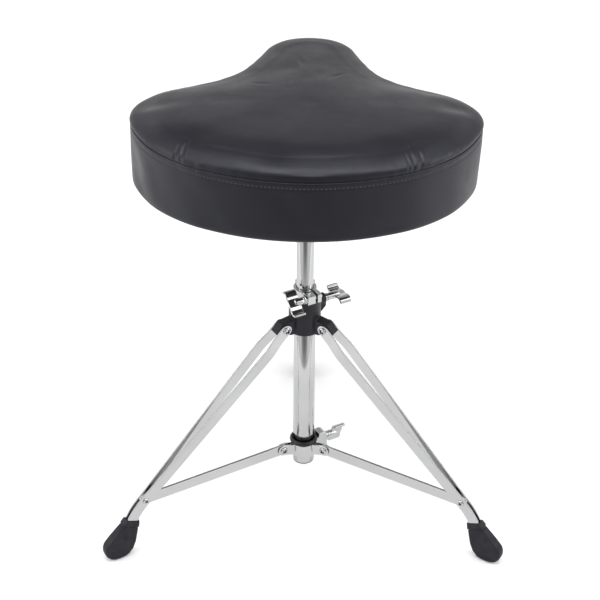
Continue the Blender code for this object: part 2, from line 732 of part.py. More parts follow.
def leg(index, pivot):
    """Two bars on the hub's ear, a bolt through them, and a short screw in each at the brace's end."""
    line = straight_line() + bowed_line()
    section = bar_section(BAR_WIDTH, BAR_THICKNESS, BAR_CHAMFER)
    across = rod(PIVOT_SHANK + GAP, -20 * MM, 20 * MM)
    x, z = BRACE_PIVOT[0] - LEG_PIVOT[0], BRACE_PIVOT[1] - LEG_PIVOT[1]
    upper_hole = tool(f"leg_{index}_upper_hole", across, pivot, along_y())
    lower_hole = tool(f"leg_{index}_lower_hole", across, pivot, along_y(x, 0, z))
    inner = bar_offset(leg_spread()[1]) - BAR_THICKNESS / 2
    outer = inner + BAR_THICKNESS + GAP
    screw = [
        (PIVOT_SHANK, inner),
        (PIVOT_SHANK, outer),
        (4.4 * MM, outer),
        (4.4 * MM, outer + 0.8 * MM),
        (3.2 * MM, outer + 1.7 * MM),
    ]
    for side, name in ((-1, "right"), (1, "left")):
        loops = rounded_start(side) + swept_bar(line, side, section)
        bar = part(f"leg_{index}_bar_{name}", "chrome", loops, pivot)
        cut(bar, upper_hole, lower_hole)
        place = Matrix.Translation((x, 0, z)) @ Matrix.Rotation(-side * math.pi / 2, 4, "X")
        part(f"leg_{index}_brace_screw_{name}", "chrome", turned(screw, 12), pivot, place)
    pivot_bolt(f"leg_{index}_pivot_bolt", pivot, bar_offset(0) + BAR_THICKNESS / 2 + GAP)


def foot(index, pivot):
    """A rubber boot: a straight outer face, a round toe and a flat patch where it stands."""
    full = [Vector(point) * MM for point in FOOT_PROFILE]
    middle = Vector(FOOT_MIDDLE)
    origin = Vector(LEG_PIVOT)
    halves = [(y * MM, inset * MM) for y, inset in FOOT_ROUNDING]
    loops = []
    for y, inset in [(-y, inset) for y, inset in halves] + halves[::-1]:
        outline = [point - (point - middle).normalized() * inset - origin for point in full]
        loops.append([Vector((x, y, z)) for x, z in outline])
    boot = part(f"foot_{index}", "rubber", loops, pivot)
    line = straight_line()[-1:] + bowed_line()
    s, x, z, angle = line[-1]
    line[-1] = (s, x + GAP * math.sin(angle), z - GAP * math.cos(angle), angle)
    thickness = 2 * (bar_offset(s) + BAR_THICKNESS / 2 + GAP)
    section = bar_section(BAR_WIDTH + 2 * GAP, thickness, BAR_CHAMFER / 2)
    cut(boot, tool(f"foot_{index}_pocket", swept_bar(line, 0, section), pivot))


def tripod(axis):
    pivots, clevises = [], []
    for i, azimuth in enumerate(LEG_AZIMUTHS, 1):
        x, y = rotated((LEG_PIVOT[0], 0), azimuth)
        pivots.append(add_empty(f"leg_{i}_pivot", axis, (x, y, LEG_PIVOT[1]), azimuth))
        x, y = rotated((CLEVIS_PIVOT[0], 0), azimuth)
        clevises.append(add_empty(f"brace_{i}_pivot", axis, (x, y, CLEVIS_PIVOT[1]), azimuth))
    base_tube(axis, leg_hub(axis, pivots))
    lower_collar(axis, clevises)
    for i, (pivot, clevis) in enumerate(zip(pivots, clevises), 1):
        leg(i, pivot)
        foot(i, pivot)
        brace(i, clevis)


def main():
    clear_scene()
    axis = add_empty("post_axis", None, (0, AXIS_Y, 0))
    seat_axis = add_empty("seat_axis", axis, (0, 0, 0), SEAT_TURN)
    seat_cushion(seat_axis)
    seat_bracket(seat_axis, seat_base(seat_axis))
    post(axis)
    memory_lock(axis)
    tripod(axis)


main()
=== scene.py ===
import json
import math

import bmesh
import bpy
import numpy as np
from mathutils import Euler, Matrix, Vector
from mathutils.kdtree import KDTree

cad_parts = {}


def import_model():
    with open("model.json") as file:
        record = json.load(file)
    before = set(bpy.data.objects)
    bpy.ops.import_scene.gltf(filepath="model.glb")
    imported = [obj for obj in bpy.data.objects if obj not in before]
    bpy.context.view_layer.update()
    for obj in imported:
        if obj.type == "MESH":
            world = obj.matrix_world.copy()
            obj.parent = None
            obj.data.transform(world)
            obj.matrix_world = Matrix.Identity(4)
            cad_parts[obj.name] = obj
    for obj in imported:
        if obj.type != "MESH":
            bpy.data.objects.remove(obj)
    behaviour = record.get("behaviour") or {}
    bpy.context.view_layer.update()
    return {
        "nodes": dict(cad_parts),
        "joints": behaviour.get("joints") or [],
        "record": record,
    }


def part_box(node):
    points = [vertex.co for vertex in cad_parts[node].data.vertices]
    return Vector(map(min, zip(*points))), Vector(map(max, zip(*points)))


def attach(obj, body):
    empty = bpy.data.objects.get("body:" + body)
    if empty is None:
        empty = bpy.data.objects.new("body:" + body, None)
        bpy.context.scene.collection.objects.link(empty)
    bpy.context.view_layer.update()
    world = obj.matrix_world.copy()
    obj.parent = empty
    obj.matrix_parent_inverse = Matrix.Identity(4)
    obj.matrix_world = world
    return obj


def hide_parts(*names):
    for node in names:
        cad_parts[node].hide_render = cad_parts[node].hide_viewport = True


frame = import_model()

MM = 0.001
BODY = {node: body for body, nodes in frame["record"]["behaviour"]["bodies"].items() for node in nodes}
SLOT = {row["node"]: row["material_slot"] for row in frame["record"]["subparts"]}
JOINT = {joint["name"]: joint for joint in frame["joints"]}
LOW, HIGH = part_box("post")
POST_AXIS = Vector(((LOW.x + HIGH.x) / 2, (LOW.y + HIGH.y) / 2, 0))
LEG_AZIMUTHS = (90, 210, 330)
# Pivots as (radius from the post's axis, height).
LEG_PIVOT = Vector((32.2, 282.6)) * MM
BRACE_PIVOT = Vector((239.5, 80.0)) * MM
CLEVIS_PIVOT = Vector((32.5, 83.3)) * MM


# ---------------------------------------------------------------- materials


class Nodes:
    """A small builder for one material's nodes."""

    def __init__(self, name, colour, roughness, metallic=0.0, **sockets):
        self.material = bpy.data.materials.new(name)
        self.material.use_nodes = True
        self.tree = self.material.node_tree
        self.shader = self.tree.nodes["Principled BSDF"]
        values = {"Base Color": (*colour, 1), "Roughness": roughness, "Metallic": metallic, **sockets}
        for socket, value in values.items():
            self.shader.inputs[socket].default_value = value
        self.place = self.add("ShaderNodeTexCoord").outputs["Object"]
        self.height = None

    def add(self, kind, inputs=None, **settings):
        node = self.tree.nodes.new(kind)
        for key, value in settings.items():
            setattr(node, key, value)
        for key, value in (inputs or {}).items():
            if isinstance(value, bpy.types.NodeSocket):
                self.tree.links.new(value, node.inputs[key])
            else:
                node.inputs[key].default_value = value
        return node

    def noise(self, scale, detail=3.0, roughness=0.5, stretch=None):
        place = self.place
        if stretch:
            place = self.add("ShaderNodeMapping", {"Vector": place, "Scale": stretch}).outputs[0]
        settings = {"Vector": place, "Scale": scale, "Detail": detail, "Roughness": roughness}
        return self.add("ShaderNodeTexNoise", settings).outputs["Fac"]

    def cells(self, scale, feature="DISTANCE_TO_EDGE", randomness=1.0):
        settings = {"Vector": self.place, "Scale": scale, "Randomness": randomness}
        return self.add("ShaderNodeTexVoronoi", settings, feature=feature).outputs["Distance"]

    def ranged(self, value, low, high):
        """Spreads a noise's usual values over a range."""
        inputs = {"Value": value, "From Min": 0.3, "From Max": 0.7, "To Min": low, "To Max": high}
        return self.add("ShaderNodeMapRange", inputs).outputs[0]

    def colour(self, factor, first, second):
        node = self.add("ShaderNodeMix", {"Factor": factor}, data_type="RGBA")
        node.inputs[6].default_value = (*first, 1)
        node.inputs[7].default_value = (*second, 1)
        self.tree.links.new(node.outputs[2], self.shader.inputs["Base Color"])

    def roughness(self, value, low, high):
        self.tree.links.new(self.ranged(value, low, high), self.shader.inputs["Roughness"])

    def bump(self, value, strength, distance):
        inputs = {"Height": value, "Strength": strength, "Distance": distance}
        if self.height is not None:
            inputs["Normal"] = self.height
        self.height = self.add("ShaderNodeBump", inputs).outputs["Normal"]
        self.tree.links.new(self.height, self.shader.inputs["Normal"])


BLUISH = {"Specular IOR Level": 0.3, "Specular Tint": (0.91, 0.92, 1.0, 1.0)}


def make_materials():
    made = {}
    m = Nodes("chrome_plate", (0.62, 0.62, 0.62), 0.08, 1.0)
    m.colour(m.ranged(m.noise(14, 4), 0, 1), (0.445, 0.446, 0.45), (0.485, 0.485, 0.49))
    m.roughness(m.noise(60, 5, 0.6), 0.06, 0.15)
    m.bump(m.noise(700, 2), 0.04, 0.0001)
    made["chrome"] = m.material

    # Dark dull steel for the insides of screw recesses and the braces' channels: painted shade where light does not
    # reach.
    m = Nodes("recess_painted_shade", (0.03, 0.03, 0.034), 0.6, 0.5)
    m.colour(m.ranged(m.noise(300, 4), 0, 1), (0.012, 0.012, 0.013), (0.035, 0.035, 0.038))
    m.roughness(m.noise(500, 3), 0.4, 0.6)
    made["recess"] = m.material

    m = Nodes("zinc_plate", (0.6, 0.6, 0.58), 0.35, 1.0)
    m.colour(m.ranged(m.noise(120, 4), 0, 1), (0.50, 0.50, 0.47), (0.66, 0.66, 0.64))
    m.roughness(m.noise(260, 4), 0.28, 0.46)
    m.bump(m.noise(1800, 2), 0.1, 0.0001)
    made["zinc_steel"] = m.material

    m = Nodes("moulded_nylon", (0.01, 0.01, 0.011), 0.42, **BLUISH)
    m.colour(m.ranged(m.noise(35, 4), 0, 1), (0.0055, 0.0055, 0.0075), (0.011, 0.011, 0.014))
    m.roughness(m.noise(90, 4), 0.34, 0.5)
    m.bump(m.noise(1500, 3), 0.18, 0.0002)
    made["black_nylon"] = m.material

    m = Nodes("powder_coat", (0.018, 0.018, 0.019), 0.45, **{"Specular IOR Level": 0.35})
    m.colour(m.ranged(m.noise(50, 3), 0, 1), (0.013, 0.013, 0.014), (0.022, 0.022, 0.023))
    m.roughness(m.noise(200, 4), 0.36, 0.55)
    m.bump(m.noise(1100, 4, 0.6), 0.35, 0.0003)
    made["black_steel"] = m.material

    m = Nodes("black_polymer", (0.01, 0.01, 0.011), 0.38, **{"Specular IOR Level": 0.32})
    m.colour(m.ranged(m.noise(80, 3), 0, 1), (0.006, 0.006, 0.007), (0.012, 0.012, 0.013))
    m.roughness(m.noise(150, 4), 0.3, 0.48)
    m.bump(m.noise(2000, 2), 0.15, 0.0002)
    made["black_plastic"] = m.material

    m = Nodes("moulded_rubber", (0.01, 0.01, 0.011), 0.6, **BLUISH)
    m.colour(m.ranged(m.noise(70, 5, 0.6), 0, 1), (0.004, 0.004, 0.006), (0.010, 0.010, 0.013))
    m.roughness(m.noise(120, 5, 0.6), 0.46, 0.72)
    m.bump(m.noise(1300, 4, 0.65), 0.35, 0.0003)
    made["rubber"] = m.material

    m = Nodes("vinyl_leatherette", (0.009, 0.009, 0.013), 0.4, **BLUISH)
    m.colour(m.ranged(m.noise(9, 4, 0.6), 0, 1), (0.0055, 0.0055, 0.009), (0.0085, 0.0085, 0.0125))
    m.roughness(m.noise(22, 5, 0.6), 0.33, 0.46)
    m.bump(m.noise(60, 3, 0.5), 0.12, 0.0015)
    m.bump(m.cells(620, randomness=1.0), 0.22, 0.0005)
    m.bump(m.noise(1400, 3, 0.6), 0.16, 0.0003)
    made["vinyl"] = m.material

    m = Nodes("stitch_thread", (0.03, 0.03, 0.033), 0.5)
    m.colour(m.ranged(m.noise(400, 2), 0, 1), (0.018, 0.018, 0.021), (0.045, 0.045, 0.05))
    m.bump(m.noise(2600, 2, 0.5, (1, 1, 2.5)), 0.4, 0.0002)
    made["thread"] = m.material

    m = Nodes("plywood_sheet", (0.5, 0.36, 0.22), 0.7)
    m.colour(m.noise(26, 5, 0.6, (1, 6, 6)), (0.34, 0.22, 0.12), (0.60, 0.45, 0.29))
    m.bump(m.noise(180, 4, 0.6, (1, 8, 8)), 0.3, 0.0004)
    made["plywood"] = m.material

    m = Nodes("non_woven_cloth", (0.015, 0.015, 0.015), 0.9, **{"Sheen Weight": 0.35, "Sheen Roughness": 0.5})
    m.colour(m.ranged(m.noise(500, 4, 0.7), 0, 1), (0.009, 0.009, 0.010), (0.030, 0.030, 0.031))
    m.bump(m.cells(900, "F1", 0.4), 0.4, 0.0004)
    m.bump(m.noise(1500, 4, 0.7), 0.3, 0.0003)
    made["dust_fabric"] = m.material
    return made


MATERIALS = make_materials()


# ---------------------------------------------------------------- meshes


def linked(name, data):
    obj = bpy.data.objects.new(name, data)
    bpy.context.scene.collection.objects.link(obj)
    return obj


def smooth_shaded(mesh, sharp):
    """Smooth shading, but not across edges of more than so many degrees."""
    mesh.shade_smooth()
    mesh.set_sharp_from_angle(angle=math.radians(sharp))


def new_object(name, vertices, faces, material, sharp=35.0):
    mesh = bpy.data.meshes.new(name)
    mesh.from_pydata([tuple(v) for v in vertices], [], faces)
    bm = bmesh.new()
    bm.from_mesh(mesh)
    bmesh.ops.recalc_face_normals(bm, faces=bm.faces)
    bm.to_mesh(mesh)
    bm.free()
    mesh.materials.append(MATERIALS[material])
    smooth_shaded(mesh, sharp)
    return linked(name, mesh)


def skin(name, loops, material, matrix=None, ring=False, sharp=35.0):
    """Skins loops of equally many points; the ends are capped unless the loops close on themselves."""
    count = len(loops[0])
    vertices = [matrix @ Vector(p) if matrix else Vector(p) for loop in loops for p in loop]
    faces = []
    rows = len(loops)
    for k in range(rows if ring else rows - 1):
        a, b = k * count, ((k + 1) % rows) * count
        for i in range(count):
            j = (i + 1) % count
            faces.append((a + i, a + j, b + j, b + i))
    if not ring:
        faces.append(tuple(reversed(range(count))))
        faces.append(tuple(range((rows - 1) * count, rows * count)))
    return new_object(name, vertices, faces, material, sharp)


def lathe(name, profile, material, matrix=None, ring=False, segments=72, sharp=35.0):
    """Turns a (radius, height) profile, in mm, about Z."""
    loops = []
    for r, z in profile:
        angles = (math.tau * i / segments for i in range(segments))
        loops.append([(r * math.cos(a) * MM, r * math.sin(a) * MM, z * MM) for a in angles])
    return skin(name, loops, material, matrix, ring, sharp)


def rounded(points, radius, steps=4, closed=True):
    """A polyline in mm with each corner rounded; a point may carry its own radius as a third number."""
    result = []
    count = len(points)
    for i, point in enumerate(points):
        here = Vector(point[:2])
        r = point[2] if len(point) > 2 else radius
        if r <= 0 or (not closed and i in (0, count - 1)):
            result.append(tuple(here))
            continue
        before = (Vector(points[i - 1][:2]) - here).normalized()
        after = (Vector(points[(i + 1) % count][:2]) - here).normalized()
        half = before.angle(after) / 2
        back = r / math.tan(half)
        centre = here + (before + after).normalized() * (r / math.sin(half))
        start, end = here + before * back - centre, here + after * back - centre
        sweep = start.angle_signed(end)
        base = math.atan2(start.y, start.x)
        for k in range(steps + 1):
            a = base - sweep * k / steps
            result.append((centre.x + r * math.cos(a), centre.y + r * math.sin(a)))
    return result


def bevel(obj, width, segments=3, angle=30.0):
    modifier = obj.modifiers.new("edge", "BEVEL")
    modifier.width = width * MM
    modifier.segments = segments
    modifier.limit_method = "ANGLE"
    modifier.angle_limit = math.radians(angle)
    modifier.harden_normals = False
    return obj


def flat_faces(obj):
    """Keeps big faces flat beside small bevels."""
    modifier = obj.modifiers.new("normals", "WEIGHTED_NORMAL")
    modifier.weight = 80
    modifier.keep_sharp = True
    return obj


def apply_modifiers(obj):
    bpy.context.view_layer.update()
    graph = bpy.context.evaluated_depsgraph_get()
    mesh = bpy.data.meshes.new_from_object(obj.evaluated_get(graph))
    obj.modifiers.clear()
    obj.data = mesh
    return obj


def cut(obj, other):
    """Takes the other object out of the first one."""
    modifier = obj.modifiers.new("cut", "BOOLEAN")
    modifier.operation = "DIFFERENCE"
    modifier.object = other
    modifier.solver = "EXACT"
    apply_modifiers(obj)
    bpy.data.objects.remove(other, do_unlink=True)
    return obj


def softened(name, node, material, voxel, smoothing):
    """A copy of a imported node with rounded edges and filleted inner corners, as a casting has; voxel is in mm."""
    mesh = frame["nodes"][node].data.copy()
    mesh.materials.clear()
    obj = linked(name, mesh)
    weld = obj.modifiers.new("weld", "WELD")
    weld.merge_threshold = 0.00001
    remesh = obj.modifiers.new("voxels", "REMESH")
    remesh.mode = "VOXEL"
    remesh.voxel_size = voxel * MM
    smooth = obj.modifiers.new("smooth", "SMOOTH")
    smooth.factor = 0.5
    smooth.iterations = smoothing
    apply_modifiers(obj)
    obj.data.materials.append(MATERIALS[material])
    obj.data.shade_smooth()
    return obj


def stand_for(obj, *nodes, slot=None):
    """Puts a piece on its node's body and hides the node."""
    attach(obj, BODY[nodes[0]])
    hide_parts(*nodes)
    return obj


def trim(obj, body):
    """A detail that has no node of its own."""
    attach(obj, body)
    return obj


def joined(name, objects):
    """One object from several; their materials keep their places in the first one's list."""
    bm = bmesh.new()
    materials = list(objects[0].data.materials)
    for obj in objects:
        start = len(bm.verts)
        bm.from_mesh(obj.data)
        bm.verts.ensure_lookup_table()
        for vertex in bm.verts[start:]:
            vertex.co = obj.matrix_world @ vertex.co
    mesh = bpy.data.meshes.new(name)
    bm.to_mesh(mesh)
    bm.free()
    for obj in objects:
        bpy.data.objects.remove(obj, do_unlink=True)
    for material in materials:
        mesh.materials.append(material)
    return linked(name, mesh)


def turn_z(degrees):
    return Matrix.Rotation(math.radians(degrees), 4, "Z")


def about_axis(azimuth, radius=0.0, height=0.0):
    """The frame whose X points out from the post along an azimuth, with its origin at a radius and height."""
    return Matrix.Translation(POST_AXIS) @ turn_z(azimuth) @ Matrix.Translation((radius, 0, height))


def turn_x(angle):
    return Matrix.Rotation(angle, 4, "X")


def facing(side):
    """Turns what stands on the XY plane so that it points along Y, to the side of that sign."""
    return turn_x(-side * math.pi / 2)


def middle_of(node):
    low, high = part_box(node)
    return (low + high) / 2


ALONG_X = Matrix.Rotation(math.pi / 2, 4, "Y")
ALONG_Y = turn_x(-math.pi / 2)


# ---------------------------------------------------------------- camera, light and floor


CAMERA_PLACE = (-0.0063, -2.0, 1.6303)  # about the foot of the post's axis
CAMERA_LENS = 111.24
CAMERA_DOWN = 33.34
CAMERA_ROLL = 0.43


def camera():
    data = bpy.data.cameras.new("camera")
    data.lens = CAMERA_LENS
    data.sensor_width = 36
    obj = linked("camera", data)
    x, y, z = CAMERA_PLACE
    obj.location = (x, POST_AXIS.y + y, z)
    down = Euler((math.radians(90 - CAMERA_DOWN), 0, 0)).to_matrix()
    obj.rotation_euler = (down @ Matrix.Rotation(math.radians(CAMERA_ROLL), 3, "Z")).to_euler()
    bpy.context.scene.camera = obj


def area_light(name, energy, size, location, target):
    data = bpy.data.lights.new(name, "AREA")
    data.energy = energy
    data.shape = "RECTANGLE"
    data.size, data.size_y = size
    obj = linked(name, data)
    obj.location = location
    obj.rotation_euler = (Vector(target) - Vector(location)).to_track_quat("-Z", "Y").to_euler()


# Patches of the studio that reflections show: direction, the cosines at which a patch starts and is full, brightness.
PATCHES = (
    ((0, -0.97, 0.24), 0.72, 0.94, 0.3),
    ((0, -0.83, -0.55), 0.75, 0.97, 0.72),
    ((0, 0.55, 0.83), 0.72, 0.98, 0.5),
    ((0, -0.10, 1.0), 0.91, 0.98, 3.0),
    ((-0.55, -0.25, 0.8), 0.91, 0.98, 2.8),
    ((0.55, -0.25, 0.8), 0.91, 0.98, 2.8),
)


def world():
    """An even white studio, with dark and bright patches that only reflections show."""
    made = bpy.data.worlds.new("studio")
    bpy.context.scene.world = made
    made.use_nodes = True
    tree = made.node_tree
    background = tree.nodes["Background"]
    place = tree.nodes.new("ShaderNodeTexCoord")
    so_far = None
    for direction, low, high, bright in PATCHES:
        toward = tree.nodes.new("ShaderNodeVectorMath")
        toward.operation = "DOT_PRODUCT"
        tree.links.new(place.outputs["Generated"], toward.inputs[0])
        toward.inputs[1].default_value = Vector(direction).normalized()
        ramp = tree.nodes.new("ShaderNodeMapRange")
        ramp.interpolation_type = "SMOOTHSTEP"
        for socket, value in (("From Min", low), ("From Max", high), ("To Min", 1.0), ("To Max", bright)):
            ramp.inputs[socket].default_value = value
        tree.links.new(toward.outputs["Value"], ramp.inputs["Value"])
        if so_far is None:
            so_far = ramp.outputs[0]
            continue
        both = tree.nodes.new("ShaderNodeMath")
        both.operation = "MULTIPLY"
        tree.links.new(so_far, both.inputs[0])
        tree.links.new(ramp.outputs[0], both.inputs[1])
        so_far = both.outputs[0]
    path = tree.nodes.new("ShaderNodeLightPath")
    seen = tree.nodes.new("ShaderNodeMix")
    seen.inputs["A"].default_value = 1.0
    tree.links.new(path.outputs["Is Glossy Ray"], seen.inputs["Factor"])
    tree.links.new(so_far, seen.inputs["B"])
    tree.links.new(seen.outputs["Result"], background.inputs["Color"])
    background.inputs["Strength"].default_value = 1.05


FLOOR_SIZE = 12.0
FLOOR_FRONT = -0.55  # what reflects the side in front of the object shows the studio past this edge


def floor():
    material = Nodes("pale_floor", (0.95, 0.95, 0.95), 0.75, **{"Specular IOR Level": 0.2})
    material.colour(material.ranged(material.noise(3, 3), 0, 1), (0.94, 0.94, 0.94), (0.96, 0.96, 0.96))
    MATERIALS["floor"] = material.material
    steps = 24
    vertices, faces = [], []
    for i in range(steps + 1):
        for j in range(steps + 1):
            vertices.append((FLOOR_SIZE * (i / steps - 0.5), FLOOR_FRONT + FLOOR_SIZE * j / steps, 0))
    for i in range(steps):
        for j in range(steps):
            a = i * (steps + 1) + j
            faces.append((a, a + steps + 1, a + steps + 2, a + 1))
    obj = new_object("floor", vertices, faces, "floor")
    obj.location.z = -0.0002


def studio():
    camera()
    world()
    floor()
    scene = bpy.context.scene
    scene.view_settings.view_transform = "Standard"
    area_light("overhead", 16, (1.8, 0.8), (0, -0.75, 2.3), (0, -0.1, 0.5))
    for name, x in (("left_box", -1.5), ("right_box", 1.5)):
        area_light(name, 7, (0.5, 1.2), (x, -0.5, 0.8), (0, -0.1, 0.45))


# ---------------------------------------------------------------- seat

SEAM_Z = 579.4  # mm, as the rest of the seat's sizes
BAND_BOTTOM = 497.4
COLUMNS = 240
DENSE = 3
SEAT_MIDDLE = np.array((0.0, -10.0))
BAND_HEIGHT = 82
INNER_INSET = 24.0  # how far in from the seam the crown's rows begin
ROOM = 3.8  # how far the middle of the top panel swells
BAND_TAPER = 1.6  # how far the band comes in towards its hem
BAND_LEAN = (-1.8, 0.0)
PRESSURE = 4.0
FRAMES = 20
MOST_SWELLING = 5.0
STITCH_LINE = 8.2  # how far below the seam the topstitching runs
STITCH_PITCH = 5.0
STITCH_LENGTH = 3.5
STITCH_RADIUS = 0.5
STITCH_SIDES = 6


def catmull(rows, t, closed):
    """Catmull-Rom through rows at a parameter counted in rows; rows is (n, ...) and t is (m,)."""
    count = len(rows)
    base = np.floor(t).astype(int)
    f = (t - base).reshape((-1,) + (1,) * (rows.ndim - 1))
    picks = [base + k for k in (-1, 0, 1, 2)]
    picks = [p % count if closed else np.clip(p, 0, count - 1) for p in picks]
    a, b, c, d = (rows[p] for p in picks)
    return 0.5 * (2 * b + (c - a) * f + (2 * a - 5 * b + 4 * c - d) * f**2 + (3 * b - a - 3 * c + d) * f**3)


def seat_edge():
    """The seat's outline at its seam, in mm about the post's axis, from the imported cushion, evenly spaced."""
    node = frame["nodes"]["seat_cushion"]
    points = np.array([v.co for v in node.data.vertices]) / MM
    points = points[np.abs(points[:, 2] - SEAM_Z) < 0.05][:, :2] - np.array(POST_AXIS)[:2] / MM
    points = np.unique(np.round(points, 2), axis=0)
    relative = points - SEAT_MIDDLE
    points = points[np.argsort(np.arctan2(relative[:, 1], relative[:, 0]))]
    fine = catmull(points, np.linspace(0, len(points), 2400, endpoint=False), True)
    steps = np.linalg.norm(np.roll(fine, -1, 0) - fine, axis=1)
    length = np.concatenate([[0], np.cumsum(steps)])
    at = np.linspace(0, length[-1], COLUMNS, endpoint=False)
    wrapped = np.vstack([fine, fine[:1]])
    edge = np.stack([np.interp(at, length, wrapped[:, k]) for k in (0, 1)], 1)
    smooth = np.exp(-0.5 * (np.arange(-3, 4) / 0.9) ** 2)
    smooth /= smooth.sum()
    edge = sum(w * np.roll(edge, k, 0) for k, w in zip(range(-3, 4), smooth))
    return edge, length[-1]


def inset_edge(edge, distance):
    along = np.roll(edge, -1, 0) - np.roll(edge, 1, 0)
    along /= np.linalg.norm(along, axis=1)[:, None]
    inward = np.stack([-along[:, 1], along[:, 0]], 1)
    return edge + inward * distance


# Rows from the hem inside the bottom edge, up the band, over the roundover and into the crown.
# Each is (inset in mm or share of the crown's outline, height in mm above the seam).
HEM_ROWS = (
    (9.0, -68.0), (9.0, -76.0), (8.6, -81.6), (6.4, -82.0), (4.0, -81.9), (1.9, -81.0), (0.7, -78.6), (0.3, -75.0),
)
BAND_ROWS = tuple((0.25 - 0.25 * k / 12, -70.0 + 65.0 * k / 12) for k in range(13))
SEAM_ROWS = ((0.2, -2.0), (0.6, -0.3), (0.25, 1.2))
# These two have a height for the back of the seat and one for its fuller front.
ROUND_ROWS = (
    (-0.3, 2.1, 2.6), (-0.8, 3.9, 5.0), (-0.5, 5.6, 7.8), (0.8, 7.3, 10.5), (3.0, 8.8, 13.2),
    (6.2, 10.1, 15.7), (10.2, 11.2, 17.9), (15.0, 12.2, 19.8), (19.8, 13.0, 21.1), (24.0, 13.7, 22.0),
)
CROWN_ROWS = (
    (0.93, 15.2, 22.9), (0.85, 16.9, 23.6), (0.76, 18.5, 24.1), (0.66, 20.1, 24.5), (0.56, 21.5, 24.8),
    (0.46, 22.7, 25.0), (0.36, 23.7, 25.1), (0.26, 24.4, 25.2), (0.17, 24.9, 25.2), (0.09, 25.2, 25.3),
    (0.04, 25.3, 25.3),
)


def seat_rows(edge):
    """The cushion before it is stuffed, as rows of points round it, in mm about the post's axis."""
    front = np.clip((45 - edge[:, 1]) / 155, 0, 1)
    front = front * front * (3 - 2 * front)
    rows = []
    for inset, height, *front_height in (*HEM_ROWS, *BAND_ROWS, *SEAM_ROWS, *ROUND_ROWS):
        lean = min(max(-height / BAND_HEIGHT, 0), 1)
        flat = inset_edge(edge, inset + BAND_TAPER * lean) + np.array(BAND_LEAN) * lean
        rise = (front_height[0] - height) * front if front_height else np.zeros(len(edge))
        rows.append(np.column_stack([flat, SEAM_Z + height + rise]))
    inner = inset_edge(edge, INNER_INSET)
    for share, height, front_height in CROWN_ROWS:
        flat = SEAT_MIDDLE + (inner - SEAT_MIDDLE) * share
        rows.append(np.column_stack([flat, SEAM_Z + height + (front_height - height) * front]))
    return np.array(rows)


def eased(shift):
    """Evens out the cloth's movement, so that foam and not loose cloth shapes the cover."""
    weights = np.exp(-0.5 * (np.arange(-6, 7) / 3) ** 2)
    weights /= weights.sum()
    return sum(w * np.roll(shift, k, 1) for k, w in zip(range(-6, 7), weights))


def blown_up(obj, held):
    """Blender's cloth with pressure; gives the vertices before and after, in mm."""
    group = obj.vertex_groups.new(name="held")
    group.add(held, 1.0, "REPLACE")
    cloth = obj.modifiers.new("cloth", "CLOTH")
    settings = cloth.settings
    settings.quality = 5
    settings.mass = 0.3
    settings.tension_stiffness = 15
    settings.compression_stiffness = 15
    settings.shear_stiffness = 8
    settings.bending_stiffness = 2.0
    settings.vertex_group_mass = group.name
    settings.use_pressure = True
    settings.uniform_pressure_force = PRESSURE
    settings.effector_weights.gravity = 0
    cloth.point_cache.frame_start = 1
    cloth.point_cache.frame_end = FRAMES
    before = np.array([v.co for v in obj.data.vertices]) / MM
    scene = bpy.context.scene
    for number in range(1, FRAMES + 1):
        scene.frame_set(number)
    mesh = obj.evaluated_get(bpy.context.evaluated_depsgraph_get()).to_mesh()
    after = np.array([v.co for v in mesh.vertices]) / MM
    scene.frame_set(1)
    return before, after


def stuffed(rows):
    """Blows the cover up between its seam and its hem, which are held, as the foam in it does."""
    count = len(rows)
    # the top panel starts lower by about what it is going to swell
    inward = np.arange(count) - (count - len(CROWN_ROWS) - 1)
    room = ROOM * np.clip(inward / len(CROWN_ROWS), 0, 1) ** 0.6
    start = rows - grid_normals(rows) * room[:, None, None]
    obj = skin("stuffing", [[tuple(p * MM) for p in row] for row in start], "vinyl")
    remesh = obj.modifiers.new("remesh", "REMESH")
    remesh.mode = "VOXEL"
    remesh.voxel_size = 0.006
    apply_modifiers(obj)
    heights = np.array([v.co.z for v in obj.data.vertices]) / MM
    held = np.nonzero((heights < BAND_BOTTOM + 10) | (np.abs(heights - SEAM_Z) < 3.5))[0]
    before, after = blown_up(obj, [int(k) for k in held])
    bpy.data.objects.remove(obj, do_unlink=True)
    moved = after - before
    tree = KDTree(len(before))
    for k, point in enumerate(before):
        tree.insert(point, k)
    tree.balance()
    shift = np.zeros(start.shape)
    for i, row in enumerate(start):
        for j, point in enumerate(row):
            near = tree.find_n(point, 6)
            weights = np.array([1 / (distance + 1.5) ** 2 for _, _, distance in near])
            shift[i, j] = weights @ moved[[k for _, k, _ in near]] / weights.sum()
    seam = len(HEM_ROWS) + len(BAND_ROWS)
    shift[: len(HEM_ROWS)] = 0
    shift[seam : seam + len(SEAM_ROWS)] = 0
    shift = eased(shift)
    size = np.linalg.norm(shift, axis=2, keepdims=True)
    return start + shift / np.maximum(size, 1e-9) * MOST_SWELLING * np.tanh(size / MOST_SWELLING)


def grid_normals(grid):
    along = np.roll(grid, -1, 1) - np.roll(grid, 1, 1)
    across = np.gradient(grid, axis=0)
    normal = np.cross(along, across)
    return normal / np.maximum(np.linalg.norm(normal, axis=2, keepdims=True), 1e-9)


def wave(position, seed, wavelength, around):
    """Smooth noise from -1 to 1 along a closed line whose length is around."""
    generator = np.random.default_rng(seed)
    count = max(int(round(around / wavelength)), 8)
    values = generator.uniform(-1, 1, count)
    t = (np.asarray(position) / around * count) % count
    return catmull(values, t.ravel(), True).reshape(t.shape)


# Creases in the top panel: ends in mm about the post's axis, depth and half-width in mm.
CREASES = (
    ((-68, 52), (-46, 45), 0.8, 2.5),
    ((-8, 124), (-4, 100), 0.8, 2.6),
    ((-56, 184), (-36, 195), 1.0, 3.0),
    ((26, 66), (48, 78), 0.7, 2.4),
    ((-30, 30), (-6, 34), 0.6, 2.2),
)

